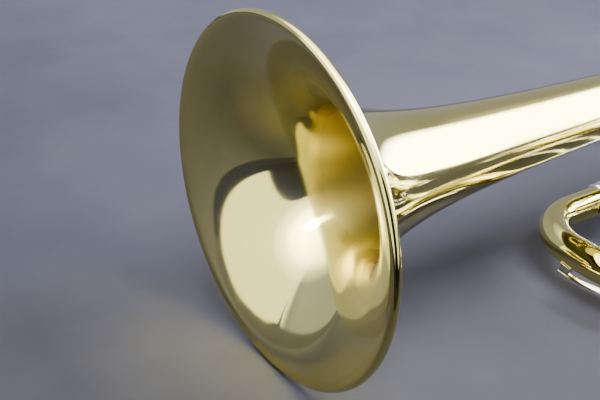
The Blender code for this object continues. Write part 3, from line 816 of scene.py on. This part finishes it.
def make_sleeve(node, casing, toward):
    """An outer tube along X that runs into its casing, with a bead round its open end."""
    span = Span(node)
    r = span.size.y / 2
    if toward < 0:
        x0, x1 = span.low.x, VALVES[casing].mid.x - 2.0
        loop = [(SLIDE_BORE, x0), (r + 0.1, x0), (r + 0.5, x0 + 0.9), (r + 0.1, x0 + 2.0), (r, x0 + 2.4),
                (r, x1, 0.0), (SLIDE_BORE, x1, 0.0)]
    else:
        x0, x1 = VALVES[casing].mid.x + 2.0, span.high.x
        loop = [(SLIDE_BORE, x0, 0.0), (r, x0, 0.0), (r, x1 - 2.4), (r + 0.1, x1 - 2.0),
                (r + 0.5, x1 - 0.9), (r + 0.1, x1), (SLIDE_BORE, x1)]
    shape = lathe(rounded(loop, 0.3), (0.0, span.mid.y, span.mid.z), X_DIR, 64)
    stand_for(node, *saddle(shape, casing, 0))


def u_turn(leg, bow, toward, mid, radius):
    """Pairs of distance and height along a U: from one leg's end, round the bow and back."""
    angles = [math.pi * i / 40 for i in range(41)]
    turn = [(bow + toward * radius * math.sin(a), mid + radius * math.cos(a)) for a in angles]
    return [(leg, mid + radius)] + turn + [(leg, mid - radius)]


def make_u_slide(name, casing, toward, ferrule):
    """Sleeves and U tube along X, with ferrules at a distance from the bow; toward is -1 for a
    bow in front. Gives the tube's centreline and radius."""
    for side in ("upper", "lower"):
        make_sleeve("%s_sleeve_%s" % (name, side), casing, toward)
    span = Span(name + "_slide_tube")
    r = span.size.z / 2
    radius = (span.size.y - 2 * r) / 2
    bow_x = span.low.x + r + radius if toward < 0 else span.high.x - r - radius
    leg_x = span.high.x if toward < 0 else span.low.x
    path = [(x, y, span.mid.z) for x, y in u_turn(leg_x, bow_x, toward, span.mid.y, radius)]
    stand_for(name + "_slide_tube", *sweep(path, r, 48))
    for side, end in (("upper", path[0]), ("lower", path[-1])):
        add_collar("%s_ferrule_%s" % (name, side), bow_x + ferrule, 12.0, 5.3, 6.7, end[1:],
                   name + "_slide")
    return path, r


def make_third_slide():
    """Sleeves, U tube with ferrules, finger ring, brace and pull knob."""
    path, r = make_u_slide("third", 3, -1, -1.0)
    z = path[0][2]
    hoop = Span("third_finger_ring")
    wire = hoop.size.z / 2
    radius = hoop.size.x / 2 - wire
    centre = (hoop.mid.x, hoop.mid.y, hoop.mid.z)
    loop = [(radius + wire * math.cos(a), wire * 0.95 * math.sin(a))
            for a in [math.tau * k / 20 for k in range(20)]]
    band = lathe(loop, centre, Z_DIR, 96)
    foot = lathe(rounded([(0.0, -0.6), (4.4, -0.6), (3.8, 0.6), (2.2, 1.4), (0.0, 1.4)], 0.4, False),
                 (hoop.mid.x, hoop.low.y - 0.1, hoop.mid.z), Y_DIR, 48)
    stand_for("third_finger_ring", *join(band, foot))
    gap = path[0][1] - path[-1][1] - 2 * r
    add_post("third_slide_brace", (184.0, path[0][1] - r - gap / 2, z), gap, "third_slide")
    add_knob("third_pull_knob", (Span("third_slide_tube").low.x, (path[0][1] + path[-1][1]) / 2, z),
             (-1.0, 0.0, 0.0), "third_slide")


def add_post(name, at, gap, body):
    """A small brace along Y, drawn only here."""
    half = gap / 2 + 0.6
    side = [(0.0, -half), (3.8, -half), (3.2, 1.2 - half), (1.8, 2.6 - half), (1.5, -1.5), (2.4, 0.0)]
    loop = side + [(r, -h) for r, h in reversed(side[:-1])]
    make(name, *lathe(rounded(loop, 0.4, False), at, Y_DIR, 48), body, "nickel_silver")


def add_knob(name, at, axis, body):
    """A small turned pull knob on a bow, drawn only here."""
    loop = [(0.0, -1.0), (2.6, -1.0), (2.0, 0.8), (1.6, 2.2), (1.9, 3.0), (3.0, 3.6), (3.3, 4.8),
            (3.0, 6.0), (1.6, 6.7), (0.0, 6.9)]
    make(name, *lathe(rounded(loop, 0.5, False), at, axis, 48), body, "nickel_silver")


def make_first_slide():
    """Sleeves, U tube with ferrules and the thumb saddle."""
    make_u_slide("first", 1, 1, -11.0)
    rest = Span("first_thumb_saddle")
    thick = 1.6
    radius = rest.size.z / 2 - thick / 2
    centre_z = rest.mid.z
    centre_y = rest.low.y + radius + thick / 2
    x = rest.mid.x
    path = [(x, rest.high.y - 1.0, centre_z - radius), (x, centre_y + 2.0, centre_z - radius)]
    path += [(x, centre_y + b, centre_z + a) for a, b in arc((0.0, 0.0), radius, 180.0, 360.0, 40)]
    path += [(x, centre_y + 2.0, centre_z + radius), (x, rest.high.y - 1.0, centre_z + radius)]
    last = len(path) - 1
    widths = [rest.size.x * (0.72 + 0.28 * math.sin(math.pi * i / last)) for i in range(last + 1)]
    strip = ribbon(path, X_DIR, widths, thick)
    foot = lathe(rounded([(0.0, -1.2), (4.6, -1.2), (3.8, 0.4), (2.6, 1.4), (0.0, 1.4)], 0.4, False),
                 (x, centre_y + 2.0, rest.low.z - 0.2), Z_DIR, 48)
    stand_for("first_thumb_saddle", *join(strip, foot))


def make_second_slide():
    """Sleeves and the small U tube below the middle valve."""
    x = VALVES[2].mid.x
    for side in ("upper", "lower"):
        node = "second_sleeve_" + side
        span = Span(node)
        r = span.size.y / 2
        z0, z1 = span.low.z, VALVE_Z - 4.0
        loop = [(SLIDE_BORE, z0), (r + 0.1, z0), (r + 0.5, z0 + 0.9), (r + 0.1, z0 + 2.0), (r, z0 + 2.4),
                (r, z1, 0.0), (SLIDE_BORE, z1, 0.0)]
        shape = lathe(rounded(loop, 0.3), (x, span.mid.y, 0.0), Z_DIR, 64)
        stand_for(node, *saddle(shape, 2, 2))
    span = Span("second_slide_tube")
    r = span.size.x / 2
    radius = (span.size.y - 2 * r) / 2
    turn = u_turn(span.high.z, span.low.z + r + radius, -1, span.mid.y, radius)
    stand_for("second_slide_tube", *sweep([(x, y, z) for z, y in turn], r, 48))


# --- Leadpipe, mouthpiece, braces, hook ---
def make_leadpipe():
    """Leadpipe, receiver and mouthpiece, on one slightly sloping axis."""
    pipe = Span("leadpipe")
    cup = Span("mouthpiece")
    start = Vector((pipe.low.x, 0.0, pipe.high.z - 6.1))
    rim_r = cup.size.y / 2
    end = Vector((cup.high.x - 2.6, 0.0, rim_r))
    axis = (end - start).normalized()
    at = tuple(start)
    receiver = Span("mouthpiece_receiver")
    scale = 1.0 / axis.x
    e = (receiver.high.x - pipe.low.x) * scale
    shank = e - 22.0
    loop = [(4.6, -4.0), (6.1, -4.0), (6.0, 60.0), (5.9, 150.0), (5.2, shank - 0.3), (4.4, shank - 0.3)]
    stand_for("leadpipe", *lathe(loop, at, axis))
    loop = [(5.25, e - 44.0), (6.3, e - 44.0), (6.9, e - 42.6), (6.5, e - 41.4), (6.9, e - 40.2),
            (7.0, e - 38.0), (7.0, e - 12.0), (7.4, e - 11.2), (7.4, e - 10.2), (7.0, e - 9.4),
            (7.0, e - 6.6), (7.9, e - 4.6), (7.9, e - 1.0), (7.6, e), (5.6, e), (5.6, shank),
            (5.25, shank - 0.4)]
    stand_for("mouthpiece_receiver", *lathe(rounded(loop, 0.5), at, axis))
    m = (cup.high.x - 0.1 - pipe.low.x) * scale
    loop = [(3.9, shank + 0.3), (4.8, shank + 0.3), (5.2, e + 2.0), (5.4, e + 11.0), (5.5, e + 12.2),
            (4.9, e + 13.6), (4.4, e + 17.0), (4.5, e + 21.0), (5.3, e + 26.0), (7.0, e + 31.0),
            (9.6, e + 38.0), (11.6, e + 45.0), (12.4, e + 51.0), (12.6, e + 55.0), (12.9, m - 5.4),
            (13.5, m - 4.2), (rim_r, m - 2.6), (13.5, m - 1.2), (12.6, m - 0.25), (11.4, m),
            (10.0, m - 0.25), (8.9, m - 1.1), (8.3, m - 2.6), (8.0, m - 5.0), (7.4, m - 8.0),
            (5.8, m - 11.6), (3.6, m - 14.4), (2.2, m - 16.4), (1.9, m - 18.6), (2.2, m - 26.0),
            (3.0, e + 12.0)]
    stand_for("mouthpiece", *lathe(rounded(loop, 2.5, steps=6), at, axis, 128))


def make_side_braces():
    """The two braces between the bell and the leadpipe."""
    for node in ("bell_brace_front", "bell_brace_rear"):
        post(node, Z_DIR)


def make_finger_hook():
    """A bent wire with a ball at its tip."""
    hook = Span("finger_hook")
    z = hook.mid.z
    base = 9.05
    points = [(216.6, base - 0.5), (221.0, base - 0.2), (226.0, base + 0.8), (231.0, base + 4.0),
              (233.8, base + 9.0)]
    points += arc((223.5, base + 11.0), 10.5, 8.0, 150.0, 8)
    path = smooth_path(points, 6)
    count = len(path) - 1
    radii = [1.8 - 0.3 * math.sin(math.pi * i / count) for i in range(count + 1)]
    wire = sweep([(p.x, p.y, z) for p in path], radii, 24)
    tip = path[-1]
    ball = lathe([(0.0, -2.3)] + [(2.3 * math.cos(math.radians(a)), 2.3 * math.sin(math.radians(a)))
                                  for a in range(-75, 90, 15)] + [(0.0, 2.3)],
                 (tip.x, tip.y, z), Y_DIR, 32)
    stand_for("finger_hook", *join(wire, ball))


make_bell()
make_bell_bow()
for valve in VALVES:
    make_valve(valve)
make_links()
make_tuning_slide()
make_water_keys()
make_third_slide()
make_first_slide()
make_second_slide()
make_leadpipe()
make_side_braces()
make_finger_hook()


# --- Stage: floor, light and camera ---
EDGE_TURN = math.radians(-121.0)     # from the bell mouth towards the near edge of the table
EDGE_REACH = 176.0
SILL_TURN = math.radians(137.0)      # the bearing that the pale band in the bell comes from
LAMP_REACH = 2000.0
LAMP_TARGET = (0.0, 0.0, 60.0)


def around(turn, reach, side=0.0, height=0.0):
    """A layout point at a bearing from the bell mouth."""
    c, s = math.cos(turn), math.sin(turn)
    return (reach * c - side * s, reach * s + side * c, height)


def sheet(name, corners, material):
    """A flat polygon of the stage."""
    mesh = bpy.data.meshes.new(name)
    mesh.from_pydata([tuple(place(*p)) for p in corners], [], [tuple(range(len(corners)))])
    mesh.materials.append(material)
    item = bpy.data.objects.new(name, mesh)
    bpy.context.scene.collection.objects.link(item)
    return item


def make_floor():
    """A pale table with painted light and shade in its colour; past its near edge the brass sees the room
    and not the table.
    """
    material, nodes, links, shader = new_material("table_top")
    mottle = texture(nodes, links, "ShaderNodeTexNoise", 16.0, Detail=4.0, Roughness=0.55)
    colour = ramp(nodes, links, mottle.outputs["Fac"],
                  [(0.3, (0.180, 0.188, 0.268)), (0.7, (0.222, 0.228, 0.312))])
    # Painted light and shade: the colour is multiplied by ramps along X and Y. They make it darker about x
    # = -60 and towards y = -60 as painted shade, and lighter far out towards -X as painted light, so that
    # the brass reflects a brighter table there.
    for axis, low, high, stops in (
            ("X", -230.0, 110.0, [(0.0, 1.35), (0.30, 1.05), (0.5, 0.68), (1.0, 1.0)]),
            ("Y", -60.0, 230.0, [(0.0, 0.66), (0.7, 1.0), (1.0, 0.90)])):
        painted_light_and_shade = ramp(nodes, links, along_axis(nodes, links, axis, low, high),
                    [(at, grey(value)) for at, value in stops])
        colour = combine(nodes, links, "MULTIPLY", colour, painted_light_and_shade)
    links.new(colour, shader.inputs["Base Color"])
    shader.inputs["Roughness"].default_value = 0.9
    shader.inputs["Specular IOR Level"].default_value = 0.0
    far = 60000.0
    low = [around(EDGE_TURN, EDGE_REACH, -far), around(EDGE_TURN, EDGE_REACH, far)]
    sheet("table", [low[0], low[1], around(EDGE_TURN, -far, far), around(EDGE_TURN, -far, -far)],
          material)
    rest = sheet("table_near", [around(EDGE_TURN, far, -far), around(EDGE_TURN, far, far), low[1], low[0]],
                 material)
    rest.visible_glossy = False


def make_cards():
    """Dull cards that only the polished metal sees, as a studio has around a bright object; the strip lying
    on the table is a painted shadow, and the edge card adds painted shade at the table's edge.
    """
    dark, _, _, shader = new_material("dark_card")
    shader.inputs["Base Color"].default_value = (0.030, 0.033, 0.036, 1.0)
    shader.inputs["Specular IOR Level"].default_value = 0.0
    grey_card, _, _, shader = new_material("grey_card")
    shader.inputs["Base Color"].default_value = (0.15, 0.15, 0.15, 1.0)
    shader.inputs["Specular IOR Level"].default_value = 0.0
    # The edge card is the table's edge, and its dark band also stands as painted shade for the gap beyond
    # the edge; only the brass sees it.
    edge = [(1500.0, 0.0), (1500.0, 22.0), (-300.0, 22.0), (-620.0, 32.0), (-2000.0, 85.0), (-2000.0, 0.0)]
    figure = [(-86.0, -200.0), (-85.0, 150.0), (-80.0, 215.0), (-62.0, 262.0), (-30.0, 296.0),
              (10.0, 318.0), (90.0, 326.0), (200.0, 316.0), (262.0, 270.0), (270.0, -200.0)]
    sill = [(-420.0, 0.0), (-312.0, 20.0), (-153.0, 45.0), (0.0, 75.0), (34.0, 68.0), (60.0, 48.0),
            (152.0, 25.0), (266.0, 12.0), (330.0, 0.0)]
    lip = [(-10.0, 0.0), (-10.0, 60.0), (14.0, 84.0), (20.0, 150.0), (21.0, 230.0), (22.5, 230.0),
           (25.0, 150.0), (24.0, 88.0), (36.0, 82.0), (64.0, 61.0), (154.0, 34.0), (268.0, 19.0),
           (480.0, 8.0), (480.0, 0.0)]
    # Painted shadow: a dark sheet lying just above the table by its near edge, seen only in the brass,
    # where the table is in shade.
    shadow = [(176.0, 400.0), (120.0, 400.0), (118.0, -118.0), (106.0, -180.0), (104.0, -243.0),
              (120.0, -320.0), (139.0, -408.0), (160.0, -560.0), (176.0, -900.0)]
    shapes = []
    for name, turn, reach, outline, material in (
            ("edge_card", EDGE_TURN, EDGE_REACH + 1.0, edge, dark),
            ("figure_card", EDGE_TURN, 400.0, figure, dark),
            ("sill_card", SILL_TURN, 500.0, sill, grey_card),
            ("lip_card", SILL_TURN, 504.0, lip, dark)):
        shapes.append((name, [around(turn, reach, side, height) for side, height in outline], material))
    shapes.append(("edge_shadow_strip", [around(EDGE_TURN, reach, side, 0.3) for reach, side in shadow], dark))
    for name, corners, material in shapes:
        card = sheet(name, corners, material)
        card.visible_camera = False
        card.visible_diffuse = False
        card.visible_shadow = False


def add_light(name, centre, target, size, power):
    """A soft square lamp, almost white, at a layout point that faces another."""
    light = bpy.data.lights.new(name, "AREA")
    light.shape = "RECTANGLE"
    light.size = size
    light.size_y = size
    light.energy = power
    light.color = (1.0, 0.99, 0.97)
    item = bpy.data.objects.new(name, light)
    bpy.context.scene.collection.objects.link(item)
    item.location = place(*centre)
    item.rotation_euler = (place(*target) - place(*centre)).to_track_quat("-Z", "Y").to_euler()
    return item


def turn_ramp(nodes, links, source, stops, top):
    """A grey ramp over the bearing; stops are (degrees, brightness), top is the brightest."""
    return ramp(nodes, links, source, [((d + 180.0) / 360.0, grey(v / top)) for d, v in stops])


def height_ramp(nodes, links, source, stops):
    """A grey ramp over the elevation; stops are (degrees, value)."""
    return ramp(nodes, links, source,
                [((math.sin(math.radians(d)) + 1.0) / 2.0, grey(v)) for d, v in stops])


def make_room():
    """A bright plain room: pale wall in front, a dimmer one behind, a light ceiling."""
    world = bpy.data.worlds.new("room")
    world.use_nodes = True
    nodes = world.node_tree.nodes
    links = world.node_tree.links
    coord = nodes.new("ShaderNodeTexCoord")
    turn = nodes.new("ShaderNodeTexGradient")
    turn.gradient_type = "RADIAL"
    links.new(coord.outputs["Generated"], turn.inputs["Vector"])
    split = nodes.new("ShaderNodeSeparateXYZ")
    links.new(coord.outputs["Generated"], split.inputs["Vector"])
    shift = nodes.new("ShaderNodeMapRange")
    shift.inputs["From Min"].default_value = -1.0
    links.new(split.outputs["Z"], shift.inputs["Value"])
    level = shift.outputs["Result"]
    top = 26.0
    wall = turn_ramp(nodes, links, turn.outputs["Fac"], [
        (-180, 3.3), (-108, 3.3), (-60, 2.2), (-42, 2.6), (-38, 26.0), (3, 26.0), (12, 0.60), (60, 0.50),
        (105, 0.75), (132, 0.85), (137, 0.62), (139.5, 3.2), (180, 3.3)], top)
    upper = turn_ramp(nodes, links, turn.outputs["Fac"], [
        (-180, 18.0), (-110, 20.0), (-45, 10.0), (10, 7.0), (60, 6.0), (105, 8.0), (130, 9.0), (145, 13.0),
        (180, 18.0)], top)
    lift = height_ramp(nodes, links, level, [(34, 0.0), (44, 0.22), (51, 0.75), (58, 1.0)])
    cool = ramp(nodes, links, turn.outputs["Fac"], [
        (0.0, (1.0, 0.99, 0.90)), (0.20, (1.0, 0.99, 0.90)), (0.33, grey(1.0)), (0.75, (0.94, 1.0, 1.22)),
        (0.875, (0.90, 1.0, 1.30)), (0.89, (1.0, 0.99, 0.90))])
    both = mix(nodes, links, lift, combine(nodes, links, "MULTIPLY", wall, cool), upper)
    drop = height_ramp(nodes, links, level, [(-17, 0.0), (-14, 1.0)])
    colour = mix(nodes, links, drop, new_colour(nodes, grey(0.02)), both)
    background = nodes["Background"]
    links.new(colour, background.inputs["Color"])
    background.inputs["Strength"].default_value = top
    world.cycles_visibility.diffuse = False
    bpy.context.scene.world = world


def make_lights():
    """The room is what the metal reflects; these lamps light the table and the felt."""
    make_room()
    for name, turn, rise, size, power, metal_only in (
            ("hot_lamp", -140.0, 66.0, 0.30, 240.0, True),
            ("ceiling_lamp", -90.0, 75.0, 1.2, 40.0, False),
            ("window", -30.0, 15.0, 1.2, 62.0, False),
            ("fill_lamp", 60.0, 15.0, 1.2, 26.0, False)):
        away = LAMP_REACH * math.cos(math.radians(rise))
        high = LAMP_TARGET[2] + LAMP_REACH * math.sin(math.radians(rise))
        lamp = add_light(name, around(math.radians(turn), away, 0.0, high), LAMP_TARGET, size, power)
        lamp.visible_glossy = metal_only
        lamp.visible_diffuse = not metal_only


def make_camera():
    """A 57 mm lens, close in front of the bell and above it."""
    data = bpy.data.cameras.new("camera")
    data.lens = 57.0
    data.sensor_width = 36.0
    data.clip_start = 0.01
    camera = bpy.data.objects.new("camera", data)
    bpy.context.scene.collection.objects.link(camera)
    right = Vector((0.8268, -0.5620, 0.0241))
    up = Vector((0.2519, 0.4083, 0.8774))
    right.normalize()
    up = (up - right * up.dot(right)).normalized()
    back = right.cross(up)
    turn = Matrix((right, up, back)).transposed()
    camera.matrix_world = Matrix.Translation(place(-141.2, -218.2, BELL_Z + 144.4)) @ turn.to_4x4()
    bpy.context.scene.camera = camera


make_floor()
make_cards()
make_lights()
make_camera()
